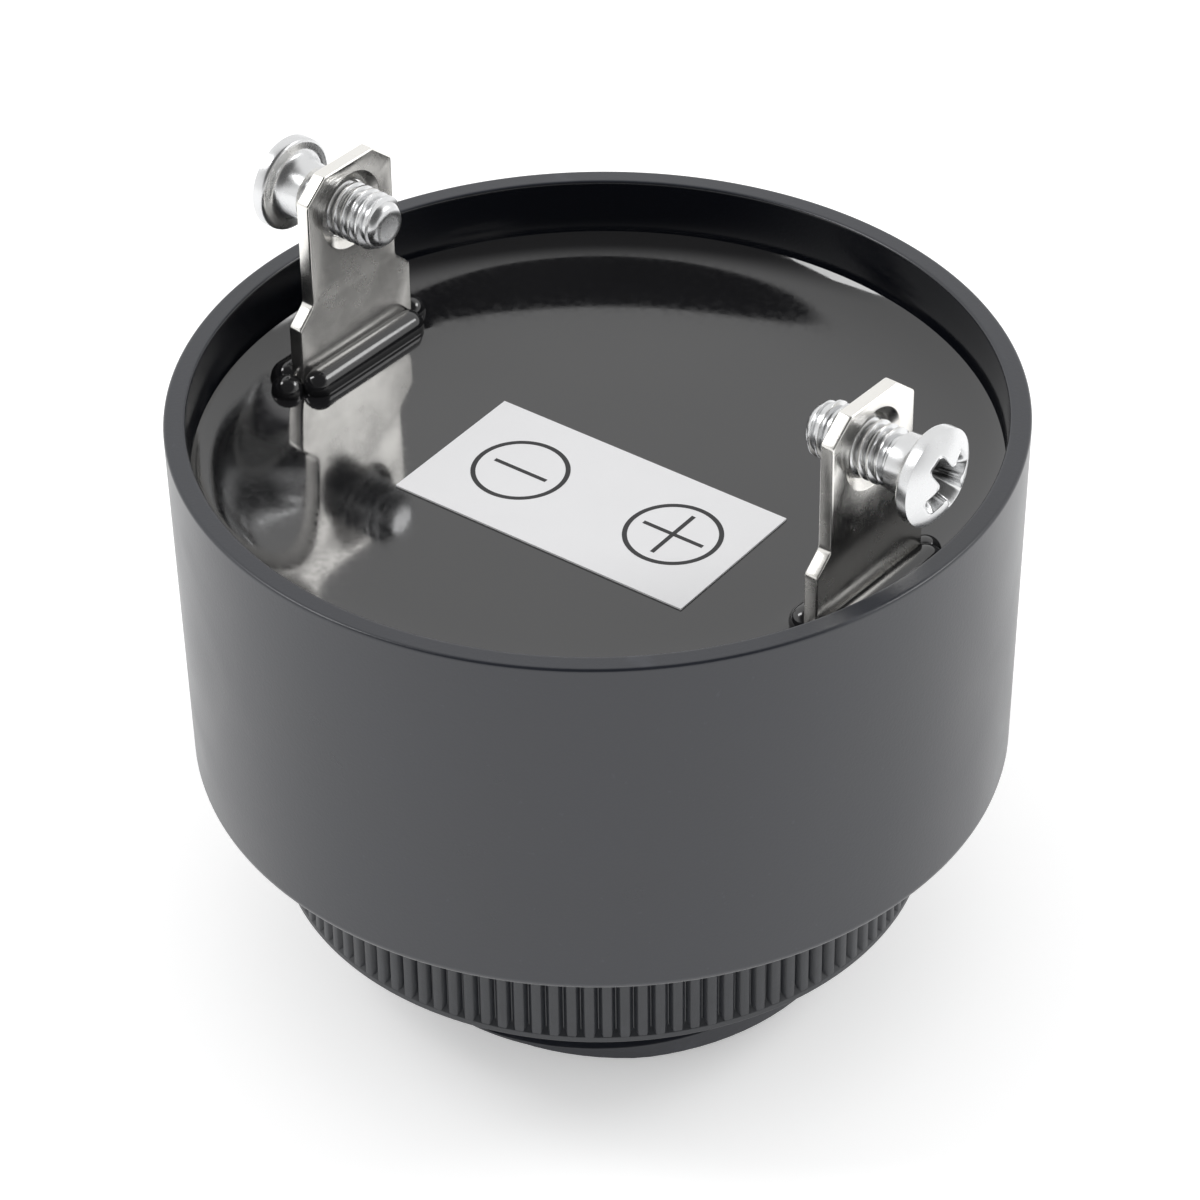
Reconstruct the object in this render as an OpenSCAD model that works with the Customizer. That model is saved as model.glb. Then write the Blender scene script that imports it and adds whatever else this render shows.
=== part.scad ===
// Panel-mount piezo buzzer: a round moulded case with a threaded nose and a ring nut,
// potted at the back round two screw terminals. All sizes are in millimetres.
// The sound grille lies on z = 0, the case axis is Z, and the terminals point up.
// The plus terminal lies towards +X.

/* [Case] */
// Diameter of the case at its open rim
case_d = 43; // [42:0.1:48]
// Diameter of the case at the shoulder, a little less for draft
shoulder_d = 42.4; // [40:0.1:46]
// Height of the case from the shoulder to the rim
case_h = 20.1; // [18:0.1:30]
// Wall of the case at the open rim
case_wall = 1.1; // [0.8:0.1:1.6]
// Thickness of the floor behind the shoulder
floor_t = 2.2; // [1.6:0.1:3]
// Width of the ledge that carries the circuit board
board_ledge_w = 1; // [0.6:0.1:1.6]
// Radius of the rounded shoulder edge
shoulder_round = 0.45; // [0.2:0.05:0.8]

/* [Nose] */
// Length of the nose from the shoulder to the sound grille
nose_h = 12.8; // [11.5:0.1:16]
// Diameter of the nose at the root of its thread
nose_d = 24.9; // [24:0.1:27]
// Step from the root of the thread in to the plain tip round the grille
tip_step = 0.45; // [0.3:0.05:0.8]
// Height of the plain tip
tip_h = 0.85; // [0.6:0.05:1.2]
// Wall of the nose between its bore and the root of the thread
nose_wall = 1.85; // [1.4:0.05:2.2]

/* [Nose thread] */
// Pitch of the thread
pitch = 2.9; // [2.6:0.05:3.4]
// Height of the thread ridge
thread_h = 1; // [0.6:0.05:1.2]
// Width of the flat between two turns of the ridge
root_flat = 0.06; // [0.04:0.01:0.4]
// Slope of each flank, as the width that it takes for each unit of height
flank_slope = 0.62; // [0.3:0.02:0.62]
// Direction in which the thread starts, from the plus terminal
thread_start = -89; // [-180:1:180]
// Clearance between the nose thread and the thread of the nut
thread_gap = 0.12; // [0.08:0.01:0.16]

/* [Sound grille] */
// Width of the slotted groove between the rim's slope and the largest raised ring
groove_w = 1.25; // [1:0.05:1.6]
// Distance from the hole in the middle to where a further ring would lie
hole_margin = 0.4; // [0.2:0.05:0.8]
// Width of each raised ring
ring_w = 1.02; // [0.7:0.02:1.3]
// Number of raised rings
ring_count = 3; // [2:1:3]
// Depth of the grooves between the rings
groove_depth = 1.25; // [0.8:0.05:1.6]
// Depth of the dish in the middle
dish_depth = 0.8; // [0.4:0.05:1.2]
// Width of the flat rim round the grille
rim_w = 1; // [0.8:0.05:1.2]
// Width of the slope from the rim down to the slots
rim_slope_w = 0.5; // [0.3:0.05:0.6]
// Thickness of the grille plate
plate_t = 2.6; // [2:0.1:3.4]
// Diameter of the hole in the middle
hole_d = 3; // [2:0.1:4]
// Number of slots in the outer groove
slot_count = 10; // [6:1:14]
// Width of each bridge between two slots
bridge_w = 1.45; // [1:0.05:2]
// Direction of the first bridge, from the plus terminal
bridge_turn = 6; // [0:1:36]

/* [Ring nut] */
// Diameter over the knurl
nut_d = 34.3; // [33:0.1:38]
// Diameter of the plain collar that presses on the panel
collar_d = 34.7; // [33.6:0.1:39]
// Height of the plain collar
collar_h = 1.05; // [0.6:0.05:1.6]
// Height of the knurl
knurl_h = 6.1; // [4:0.1:6.6]
// Number of knurl ribs
knurl_count = 120; // [90:2:150]
// Depth of the knurl
knurl_depth = 0.35; // [0.2:0.05:0.5]
// Width of the bevel on the outer face
bevel_w = 1.2; // [0.6:0.1:1.8]
// Height of the bevel on the outer face
bevel_h = 0.95; // [0.5:0.05:1.3]

/* [Sounder disc] */
// Clearance between the edge of the brass plate and the case wall
plate_gap = 1.65; // [1.2:0.05:3]
// Thickness of the brass plate
brass_t = 0.25; // [0.15:0.05:0.5]
// Width of the bare brass round the ceramic
brass_edge_w = 5; // [3:0.1:7]
// Thickness of the ceramic
ceramic_t = 0.25; // [0.15:0.05:0.5]
// Height of the support rib under the plate
rib_h = 2; // [1.2:0.1:2.6]
// Width of the support rib
rib_w = 1.4; // [1:0.1:2]
// Thickness of the silicone bead on the rib
bead_t = 0.3; // [0.2:0.05:0.5]

/* [Circuit board] */
// Thickness of the board
board_t = 1.6; // [1:0.1:2]
// Gap between the board and the case wall
board_gap = 0.2; // [0.1:0.05:0.4]
// Clearance between the sounder disc and the tallest part under the board
disc_clearance = 1; // [0.6:0.1:2]
// Clearance round each lead in its hole
hole_gap = 0.06; // [0.04:0.01:0.1]
// Depth of the end of each lead below the top of the board
lead_end_depth = 0.2; // [0.1:0.05:0.4]

/* [Parts under the board] */
// Diameter of the choke's flanges
choke_d = 8; // [6:0.2:9]
// Height of the choke
choke_h = 4.9; // [4:0.1:5.2]
// Thickness of the choke's flanges
choke_flange_t = 0.8; // [0.6:0.1:1.1]
// Diameter of the transistor body
transistor_d = 4.6; // [4:0.1:5]
// Height of the transistor body
transistor_h = 4.5; // [4:0.1:4.8]
// Diameter of the capacitor
capacitor_d = 5; // [4:0.2:6]
// Height of the capacitor
capacitor_h = 4.9; // [4:0.1:5.2]
// Diameter of each resistor body
resistor_d = 1.9; // [1.6:0.1:2.4]
// Length of each resistor body
resistor_l = 5; // [4:0.1:6]
// Diameter of the diode body
diode_d = 2.6; // [2:0.1:3]
// Length of the diode body
diode_l = 5; // [4:0.1:6]
// Gap between the parts and the board
part_gap = 0.3; // [0.1:0.05:0.6]
// Length of each lead of a lying part, out to its bend
lead_reach = 1.3; // [1:0.05:1.8]
// Diameter of the component leads
lead_d = 0.6; // [0.5:0.02:0.7]
// Diameter of the wires to the sounder disc
wire_d = 0.5; // [0.4:0.02:0.6]
// Length of each wire straight under the board
wire_straight = 0.6; // [0.4:0.05:1]
// Height of each drop of solder on the sounder disc
drop_h = 0.6; // [0.4:0.05:0.8]
// Radius of each drop of solder
drop_r = 0.9; // [0.6:0.05:1.2]

/* [Potting] */
// Depth of the potting over the board
pot_t = 2.9; // [2:0.1:3.1]
// Height to which the resin climbs the case wall
meniscus_h = 0.5; // [0.2:0.05:0.8]
// Width of the resin's climb
meniscus_w = 1.4; // [0.6:0.1:1.6]
// Height of the resin mound round each terminal
mound_h = 0.9; // [0.5:0.1:1.4]
// Width of the resin mound beyond the terminal
mound_w = 1.4; // [1:0.1:1.8]

/* [Terminals] */
// Distance from the case wall under the ledge to the outer face of each terminal
terminal_inset = 2.27; // [1.8:0.01:3.4]
// Thickness of each terminal
terminal_t = 0.8; // [0.6:0.05:1]
// Width of the blade
blade_w = 6.3; // [5.6:0.1:6.8]
// Width of the lower part of the terminal
base_w = 8.4; // [7.4:0.1:8.8]
// Height of the blade's top above the screw axis
blade_above_screw = 2.8; // [2.4:0.05:4]
// Height above the rim at which the blade widens
step_above_rim = 0.45; // [-0.6:0.05:0.8]
// Drop of the sloping shoulder on each side of the blade
step_drop = 0.95; // [0.4:0.05:1.4]
// Width of the cut corners at the top
corner_w = 1.35; // [0.8:0.05:1.6]
// Height of the cut corners at the top
corner_h = 1.15; // [0.8:0.05:1.4]
// Width of the foot in the board
foot_w = 4; // [3:0.1:5]
// Length of the foot below the board
foot_below = 1; // [0.6:0.1:1.4]
// Clearance round the foot in the board
foot_gap = 0.1; // [0.05:0.01:0.2]
// Width of the solder beyond each end of the foot
solder_w = 0.8; // [0.6:0.05:1]
// Height of the screw axis above the rim
screw_above_rim = 4.75; // [4.1:0.05:4.9]
// Width of the countersink round the tapped hole, on both faces of the blade
sink_w = 0.55; // [0.3:0.05:0.6]
// Depth of that countersink
sink_depth = 0.25; // [0.15:0.05:0.3]

/* [Terminal screws] */
// Outer diameter of the screw thread
screw_d = 3; // [2.6:0.1:3.2]
// Clearance between the screw and its tapped hole
screw_gap = 0.05; // [0.03:0.01:0.08]
// Length of the screw under its head
screw_l = 6.4; // [6:0.1:8]
// Length of the screw on the inner side of the terminal
screw_inside = 2.6; // [2:0.1:3]
// Diameter of the screw head
head_d = 5; // [4.8:0.1:6]
// Height of the plain side of the screw head
head_side_h = 0.7; // [0.5:0.05:1.2]
// Height of the dome on the screw head
head_dome_h = 0.85; // [0.4:0.05:1]
// Length of each arm of the cross recess
recess_l = 1.65; // [1:0.05:1.8]
// Width of each arm of the cross recess
recess_w = 0.95; // [0.5:0.05:1.1]
// Depth of the cross recess
recess_depth = 1.25; // [0.8:0.05:1.5]

/* [Label] */
// Length of the label
label_l = 17.5; // [12:0.1:18]
// Width of the label
label_w = 9; // [6:0.1:10]
// Thickness of the label
label_t = 0.1; // [0.08:0.01:0.2]
// Turn of the label about the case axis
label_turn = 3.5; // [0:0.5:8]

/* [Hidden] */
$fn = 96;
overcut = 1;

// Heights up the axis, from the grille at zero to the tops of the terminals
rim_z = nose_h + case_h;
floor_z = nose_h + floor_t;
bead_z = floor_z + rib_h;
plate_z = bead_z + bead_t;
ceramic_z = plate_z + brass_t;
ceramic_top_z = ceramic_z + ceramic_t;
board_z = ceramic_top_z + disc_clearance + max(choke_h, transistor_h, capacitor_h) + part_gap;
board_top_z = board_z + board_t;
pot_z = board_top_z + pot_t;
step_z = rim_z + step_above_rim;
screw_z = rim_z + screw_above_rim;
blade_top_z = screw_z + blade_above_screw;

// Radii of the nose
nose_r = nose_d / 2;
bore_r = nose_r - nose_wall;
tip_r = nose_r - tip_step;
rib_setback = 0.6;
rib_inner_r = bore_r + rib_setback;
rib_outer_r = rib_inner_r + rib_w;
edge_break = 0.15;

// Radii of the drafted case at height z: outside, inside above the ledge, and inside below it
function case_r(z) = shoulder_d / 2 + (case_d - shoulder_d) / 2 * (z - nose_h) / case_h;
function wall_r(z) = case_r(z) - case_wall;
function cavity_r(z) = wall_r(z) - board_ledge_w;

// Sizes of the disc and the board, which fit in the case where it is narrowest round them
plate_d = 2 * (min(cavity_r(plate_z), cavity_r(ceramic_z)) - plate_gap);
ceramic_d = plate_d - 2 * brass_edge_w;
board_r = min(wall_r(board_z), wall_r(board_top_z)) - board_gap;

// The grille's slotted groove and the rings inside it
rim_foot_r = tip_r - rim_w - rim_slope_w;
ring_r = rim_foot_r - groove_w;
ring_step = (ring_r - hole_d / 2 - hole_margin) / ring_count;

// The thread, its start just behind the plain tip and its end just short of the shoulder
crest_r = nose_r + thread_h;
thread_sink = 0.04;
thread_base_r = nose_r - thread_sink;
thread_steps = 40;
thread_margin = 0.1;
thread_lead_in = 0.45;
fade_start = 0.2;
base_half = (pitch - root_flat) / 2;
crest_half = base_half - flank_slope * (crest_r - thread_base_r);
thread_from_z = tip_h + thread_margin - crest_half + thread_lead_in;
thread_to_z = nose_h - thread_margin - base_half;

// The nut, seated on the shoulder
nut_top_z = nose_h;
knurl_top_z = nut_top_z - collar_h;
knurl_z = knurl_top_z - knurl_h;
nut_z = knurl_z - bevel_h;
nut_clearance = 0.4;
nut_bore_r = nose_r + nut_clearance;
knurl_valley_r = nut_d / 2 - knurl_depth;

// Places of the parts under the board, and of the wires
choke_at = [-7.5, 8];
transistor_at = [7, 8.5];
capacitor_at = [-9, -6.5];
resistor_at = [[0, 1.2], [0, -2.6], [0, -6.4]];
diode_edge = 5.25;
diode_at = [0, diode_edge - cavity_r(board_z)];
choke_pins = 5;
transistor_pins = 2.54;
capacitor_pins = 2;
resistor_pins = resistor_l + 2 * lead_reach;
diode_pins = diode_l + 2 * lead_reach;
lead_top_z = board_top_z - lead_end_depth;
lead_slant = 2.4;
plate_lead_slant = 0.6;
plate_lead_r = (plate_d + ceramic_d) / 4;
plate_lead_foot = [0, plate_lead_r];
plate_lead_top = plate_lead_foot + [lead_slant, -plate_lead_slant];
ceramic_lead_edge = 4.4;
ceramic_lead_y = 1.2;
ceramic_lead_foot = [ceramic_d / 2 - ceramic_lead_edge, ceramic_lead_y];
ceramic_lead_top = ceramic_lead_foot + [lead_slant, 0];
feedback_lead_edge = 4.8;
feedback_lead_y = -4.4;
feedback_lead_foot = [ceramic_d / 2 - feedback_lead_edge, feedback_lead_y];
feedback_lead_top = feedback_lead_foot + [lead_slant, 0];

// The terminals and their screws
terminal_x = cavity_r(board_z) - terminal_inset - terminal_t;
screw_hole_r = screw_d / 2 + screw_gap;
solder_r = 1.2;

// Centre of the label
label_at = [1.3, -2.2];

// Points on an arc about [x, y], from one angle to another
function arc(x, y, r, from, to, steps) =
    [for (i = [0:steps]) let (a = from + (to - from) * i / steps) [x + r * cos(a), y + r * sin(a)]];

// Outline of a slot with round ends, 2 * half long between the centres of its ends, along Y
function round_slot(half, r, steps) =
    concat(arc(0, half, r, 0, 180, steps), arc(0, -half, r, 180, 360, steps));

// Outer radius of raised ring number i, counted inwards
function ring_outer(i) = ring_r - i * ring_step;

// Groove, ring and groove again, from the dish in the middle out to the rim
function grille_outline() = concat(
    [[hole_d / 2, plate_t], [hole_d / 2, dish_depth]],
    [for (i = [ring_count - 1:-1:0]) each [
        [ring_outer(i) - ring_w, i == ring_count - 1 ? dish_depth : groove_depth],
        [ring_outer(i) - ring_w, 0],
        [ring_outer(i), 0],
        [ring_outer(i), groove_depth]
    ]],
    [[rim_foot_r, groove_depth], [tip_r - rim_w, 0]]
);

// A ridge that winds up a right-hand helix, with its start cut square to the axis at clip_z
// and its height fading out at both ends
module helix_ridge(inner_r, outer_r, inner_half, outer_half, from_z, to_z, clip_z, fade) {
    count = ceil((to_z - from_z) / pitch * thread_steps);
    points = [for (i = [0:count]) let (
        a = i * 360 / thread_steps,
        z = from_z + (to_z - from_z) * i / count,
        share = fade ? min(1, fade_start + i * 7 / thread_steps, fade_start + (count - i) * 10 / thread_steps) : 1,
        r = inner_r + (outer_r - inner_r) * share
    ) each [
        [inner_r * cos(a), inner_r * sin(a), max(clip_z, z - inner_half)],
        [r * cos(a), r * sin(a), max(clip_z, z - outer_half)],
        [r * cos(a), r * sin(a), z + outer_half],
        [inner_r * cos(a), inner_r * sin(a), z + inner_half]
    ]];
    sides = [for (i = [0:count - 1], j = [0:3]) let (k = (j + 1) % 4, a = 4 * i, b = 4 * (i + 1))
        each [[a + j, a + k, b + k], [a + j, b + k, b + j]]];
    ends = [[3, 2, 1, 0], [4 * count, 4 * count + 1, 4 * count + 2, 4 * count + 3]];
    polyhedron(points = points, faces = concat(sides, ends), convexity = 8);
}

// A round wire that leaves one height straight down and reaches another one the same way
module bent_wire(top, foot, top_z, foot_z, d) {
    rings = 12;
    sides = 8;
    points = [for (i = [0:rings]) let (
        t = i / rings,
        ease = t * t * (3 - 2 * t),
        speed = 6 * t * (1 - t),
        at = top + (foot - top) * ease,
        run = norm(foot - top),
        along = (foot - top) / run,
        tilt = atan2(run * speed, top_z - foot_z),
        side = [-along[1], along[0], 0],
        lift = [along[0] * cos(tilt), along[1] * cos(tilt), sin(tilt)]
    ) each [for (j = [0:sides - 1]) let (a = j * 360 / sides)
        [at[0], at[1], top_z + (foot_z - top_z) * t] + d / 2 * (cos(a) * side + sin(a) * lift)]];
    walls = [for (i = [0:rings - 1], j = [0:sides - 1]) let (k = (j + 1) % sides, a = sides * i, b = a + sides)
        each [[a + j, b + k, a + k], [a + j, b + j, b + k]]];
    ends = [[for (j = [0:sides - 1]) j], [for (j = [sides - 1:-1:0]) sides * rings + j]];
    polyhedron(points = points, faces = concat(walls, ends), convexity = 4);
}

// A low mound of resin with round ends, its long way along Y
module resin_mound(half, r, h) {
    layers = 5;
    steps = 8;
    count = 2 * (steps + 1);
    points = concat(
        [for (i = [0:layers]) let (a = 75 * i / layers) each [
            for (p = round_slot(half, r * cos(a), steps)) [p[0], p[1], -0.2 + (h + 0.2) * sin(a) / sin(75)]
        ]]
    );
    walls = [for (i = [0:layers - 1], j = [0:count - 1]) let (k = (j + 1) % count, a = count * i, b = a + count)
        each [[a + j, b + j, b + k], [a + j, b + k, a + k]]];
    ends = [[for (j = [0:count - 1]) j], [for (j = [count - 1:-1:0]) count * layers + j]];
    polyhedron(points = points, faces = concat(walls, ends), convexity = 2);
}

// One moulding: grille plate, threaded nose, shoulder, case wall and the rib for the sounder disc
module housing() {
    outline = concat(
        grille_outline(),
        [[tip_r - edge_break, 0], [tip_r, edge_break], [tip_r, tip_h], [nose_r, tip_h], [nose_r, nose_h]],
        arc(shoulder_d / 2 - shoulder_round, nose_h + shoulder_round, shoulder_round, -90, 0, 5),
        [[case_r(rim_z), rim_z - edge_break], [case_r(rim_z) - edge_break, rim_z], [wall_r(rim_z), rim_z]],
        [[wall_r(board_z), board_z], [cavity_r(board_z), board_z], [cavity_r(floor_z), floor_z]],
        [[rib_outer_r, floor_z], [rib_outer_r, bead_z], [rib_inner_r, bead_z], [rib_inner_r, floor_z]],
        [[bore_r, floor_z], [bore_r, plate_t]]
    );
    slot_margin = 0.03;
    slot_sink = 0.4;
    slot_inner_r = ring_r + slot_margin;
    slot_outer_r = rim_foot_r - slot_margin;
    bridge_angle = bridge_w / ((slot_inner_r + slot_outer_r) / 2) * 180 / PI;
    slot_step = 360 / slot_count;
    color("#26272a")
    difference() {
        union() {
            rotate_extrude() polygon(outline);
            rotate([0, 0, thread_start])
                helix_ridge(thread_base_r, crest_r, base_half, crest_half, thread_from_z, thread_to_z,
                    tip_h + thread_margin, true);
        }
        for (i = [0:slot_count - 1])
            rotate([0, 0, bridge_turn + i * slot_step + bridge_angle / 2])
            rotate_extrude(angle = slot_step - bridge_angle)
            polygon([
                [slot_inner_r, groove_depth - slot_sink], [slot_outer_r, groove_depth - slot_sink],
                [slot_outer_r, plate_t + overcut], [slot_inner_r, plate_t + overcut]
            ]);
    }
}

// Points round the knurl: each rib has two foot points and two crest points
function knurl_outline() = [for (i = [0:knurl_count - 1], p = [[0.12, 0], [0.28, 1], [0.72, 1], [0.88, 0]])
    let (a = (i + p[0]) * 360 / knurl_count, r = knurl_valley_r + p[1] * knurl_depth)
    [r * cos(a), r * sin(a)]];

// Knurled plastic nut with a plain collar, tapped to run on the nose
module ring_nut() {
    groove_inner_r = nut_bore_r - 0.1;
    groove_outer_r = crest_r + thread_gap;
    groove_half = crest_half + thread_gap;
    groove_base_half = groove_half + flank_slope * (groove_outer_r - groove_inner_r);
    turns_below = ceil((thread_from_z - nut_z) / pitch + 1);
    color("#1f2022")
    difference() {
        union() {
            intersection() {
                translate([0, 0, nut_z]) linear_extrude(bevel_h + knurl_h) polygon(knurl_outline());
                rotate_extrude() polygon([
                    [0, nut_z], [nut_d / 2 - bevel_w, nut_z], [nut_d / 2, knurl_z],
                    [nut_d / 2, nut_top_z], [0, nut_top_z]
                ]);
            }
            translate([0, 0, knurl_top_z]) cylinder(h = collar_h, d = collar_d);
        }
        translate([0, 0, nut_z - overcut]) cylinder(h = nut_top_z - nut_z + 2 * overcut, r = nut_bore_r);
        rotate([0, 0, thread_start])
            helix_ridge(groove_inner_r, groove_outer_r, groove_base_half, groove_half,
                thread_from_z - turns_below * pitch, thread_to_z + pitch, -100, false);
    }
}

// Silicone that holds the sounder disc on its rib
module mounting_bead() {
    color("#d9d9d2")
    translate([0, 0, bead_z])
    difference() {
        cylinder(h = bead_t, r = rib_outer_r - 0.1);
        translate([0, 0, -overcut]) cylinder(h = bead_t + 2 * overcut, r = rib_inner_r + 0.1);
    }
}

// Brass plate of the sounder disc
module piezo_plate() {
    color("#c9a24a")
    translate([0, 0, plate_z]) cylinder(h = brass_t, d = plate_d);
}

// Silvered ceramic on the brass plate
module piezo_ceramic() {
    color("#d4d2c8")
    translate([0, 0, ceramic_z]) cylinder(h = ceramic_t, d = ceramic_d);
}

// A wire from the board down to the sounder disc, with its drop of solder
module disc_lead(top, foot, foot_z) {
    straight_z = board_z - wire_straight;
    overlap = wire_straight / 6;
    color("#a83232") {
        union() {
            translate([top[0], top[1], straight_z])
                cylinder(h = lead_top_z - straight_z, d = wire_d, $fn = 24);
            bent_wire(top, foot, straight_z + overlap, foot_z + wire_d / 2, wire_d * 0.96);
            translate([foot[0], foot[1], foot_z])
                cylinder(h = drop_h, r1 = drop_r, r2 = drop_r * 0.55, $fn = 24);
        }
    }
}

module plate_lead() {
    disc_lead(plate_lead_top, plate_lead_foot, ceramic_z);
}

module ceramic_lead() {
    disc_lead(ceramic_lead_top, ceramic_lead_foot, ceramic_top_z);
}

module feedback_lead() {
    disc_lead(feedback_lead_top, feedback_lead_foot, ceramic_top_z);
}

// A hole through the board for one round lead
module board_hole(at, d) {
    translate([at[0], at[1], board_z - overcut])
        cylinder(h = board_t + 2 * overcut, d = d + 2 * hole_gap, $fn = 24);
}

// The board that closes the case under the potting, pierced for every lead and both feet
module circuit_board() {
    color("#2f6b3a")
    difference() {
        translate([0, 0, board_z]) cylinder(h = board_t, r = board_r);
        for (side = [-1, 1]) {
            board_hole(choke_at + [side * choke_pins / 2, 0], lead_d);
            board_hole(capacitor_at + [side * capacitor_pins / 2, 0], lead_d);
            board_hole(diode_at + [side * diode_pins / 2, 0], lead_d);
            for (at = resistor_at) board_hole(at + [side * resistor_pins / 2, 0], lead_d);
            translate([side * (terminal_x + terminal_t / 2), 0, board_z + board_t / 2])
                cube([terminal_t + 2 * foot_gap, foot_w + 2 * foot_gap, board_t + 2 * overcut], center = true);
        }
        for (i = [-1:1]) board_hole(transistor_at + [i * transistor_pins, 0], lead_d);
        for (at = [plate_lead_top, ceramic_lead_top, feedback_lead_top]) board_hole(at, wire_d);
    }
}

// Solder round the foot of one terminal, under the board
module foot_solder(side) {
    h = foot_below * 0.8;
    color("#b9bcc0")
    translate([side * (terminal_x + terminal_t / 2), 0, board_z])
    difference() {
        intersection() {
            translate([0, 0, -h]) cylinder(h = h, r1 = foot_w / 2 + solder_w / 4, r2 = foot_w / 2 + solder_w);
            cube([2 * solder_r, foot_w + 4 * solder_w, 4 * foot_below], center = true);
        }
        cube([terminal_t, foot_w, 4 * foot_below], center = true);
    }
}

module solder_negative() {
    foot_solder(-1);
}

module solder_positive() {
    foot_solder(1);
}

// Ferrite drum of the choke, flange, post and flange
module choke_core() {
    color("#3a3a3c")
    translate([choke_at[0], choke_at[1], board_z - part_gap - choke_h]) {
        cylinder(h = choke_flange_t, d = choke_d);
        cylinder(h = choke_h, d = choke_d * 0.45);
        translate([0, 0, choke_h - choke_flange_t]) cylinder(h = choke_flange_t, d = choke_d);
        for (side = [-1, 1])
            translate([side * choke_pins / 2, 0, choke_h - choke_flange_t / 2])
            cylinder(h = lead_top_z - board_z + part_gap + choke_flange_t / 2, d = lead_d, $fn = 24);
    }
}

// Copper winding between the choke's flanges
module choke_winding() {
    color("#b5622e")
    translate([choke_at[0], choke_at[1], board_z - part_gap - choke_h + choke_flange_t])
    difference() {
        cylinder(h = choke_h - 2 * choke_flange_t, d = choke_d - 0.8);
        translate([0, 0, -overcut]) cylinder(h = choke_h + overcut, d = choke_d * 0.45);
    }
}

// Transistor that drives the sounder, its flat side towards the rim
module transistor() {
    color("#222222")
    translate([transistor_at[0], transistor_at[1], board_z - part_gap - transistor_h]) {
        difference() {
            cylinder(h = transistor_h, d = transistor_d);
            translate([-transistor_d, transistor_d * 0.28, -overcut])
                cube([2 * transistor_d, transistor_d, transistor_h + 2 * overcut]);
        }
        for (i = [-1:1])
            translate([i * transistor_pins * 0.68, 0, transistor_h - 0.5])
            cylinder(h = 0.6, d = lead_d + 0.04, $fn = 24);
        for (i = [-1:1])
            translate([i * transistor_pins, 0, transistor_h + 0.05])
            cylinder(h = lead_top_z - board_z + part_gap - 0.05, d = lead_d, $fn = 24);
        translate([0, 0, transistor_h + 0.1])
            cube([2 * transistor_pins + lead_d * 0.7, lead_d * 0.7, 0.2], center = true);
    }
}

// Electrolytic capacitor with its pressed groove
module capacitor() {
    groove = 0.25;
    r = capacitor_d / 2;
    color("#2b3a57")
    translate([capacitor_at[0], capacitor_at[1], board_z - part_gap - capacitor_h]) {
        rotate_extrude() polygon([
            [0, 0], [r - 0.3, 0], [r, 0.3], [r, capacitor_h - 1.6], [r - groove, capacitor_h - 1.35],
            [r - groove, capacitor_h - 1.1], [r, capacitor_h - 0.85], [r, capacitor_h], [0, capacitor_h]
        ]);
        for (side = [-1, 1])
            translate([side * capacitor_pins / 2, 0, capacitor_h - 0.5])
            cylinder(h = lead_top_z - board_z + part_gap + 0.5, d = lead_d, $fn = 24);
    }
}

// A part that lies along X below the board, hung from its two bent leads
module lying_part(at, body_d, body_l, pins, colour) {
    color(colour)
    translate([at[0], at[1], board_z - part_gap - body_d / 2]) {
        rotate([0, 90, 0]) cylinder(h = body_l, d = body_d, center = true);
        rotate([0, 90, 0]) cylinder(h = pins, d = lead_d - 0.06, center = true, $fn = 24);
        for (side = [-1, 1])
            translate([side * pins / 2, 0, -lead_d / 2])
            cylinder(h = lead_top_z - board_z + part_gap + body_d / 2 + lead_d / 2, d = lead_d, $fn = 24);
    }
}

module drive_resistor() {
    lying_part(resistor_at[0], resistor_d, resistor_l, resistor_pins, "#c8b48c");
}

module bias_resistor() {
    lying_part(resistor_at[1], resistor_d, resistor_l, resistor_pins, "#c8b48c");
}

module feedback_resistor() {
    lying_part(resistor_at[2], resistor_d, resistor_l, resistor_pins, "#c8b48c");
}

module diode() {
    lying_part(diode_at, diode_d, diode_l, diode_pins, "#2a2a2c");
}

// Black resin poured over the board: it climbs the case wall and both terminals
module potting() {
    steps = 6;
    climb = [for (i = [0:steps]) let (t = i / steps, z = pot_z + meniscus_h * t * t)
        [wall_r(z) - meniscus_w * (1 - t), z]];
    color("#17181a")
    difference() {
        union() {
            rotate_extrude() polygon(concat(
                [[0, board_top_z], [0, pot_z]], climb, [[wall_r(board_top_z), board_top_z]]
            ));
            for (side = [-1, 1])
                translate([side * (terminal_x + terminal_t / 2), 0, pot_z])
                resin_mound(base_w / 2 - 0.6, mound_w + terminal_t / 2, mound_h);
        }
        for (side = [-1, 1])
            translate([side * (terminal_x + terminal_t / 2), 0, 0])
            translate([-terminal_t / 2, -base_w / 2, board_top_z - overcut])
            cube([terminal_t, base_w, step_z]);
    }
}

// Paper label, without its marks, stuck on the potting
module label() {
    color("#f2f2ee")
    translate([label_at[0], label_at[1], pot_z])
    rotate([0, 0, label_turn])
    translate([-label_l / 2, -label_w / 2, 0])
    cube([label_l, label_w, label_t]);
}

// Outline of a terminal, seen along X: foot, wide base, sloping step, blade and cut corners
function terminal_outline() = let (half = [
    [foot_w / 2, board_z - foot_below], [foot_w / 2, board_top_z], [base_w / 2, board_top_z],
    [base_w / 2, step_z - step_drop], [blade_w / 2, step_z], [blade_w / 2, blade_top_z - corner_h],
    [blade_w / 2 - corner_w, blade_top_z]
]) concat(half, [for (i = [len(half) - 1:-1:0]) [-half[i][0], half[i][1]]]);

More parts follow.
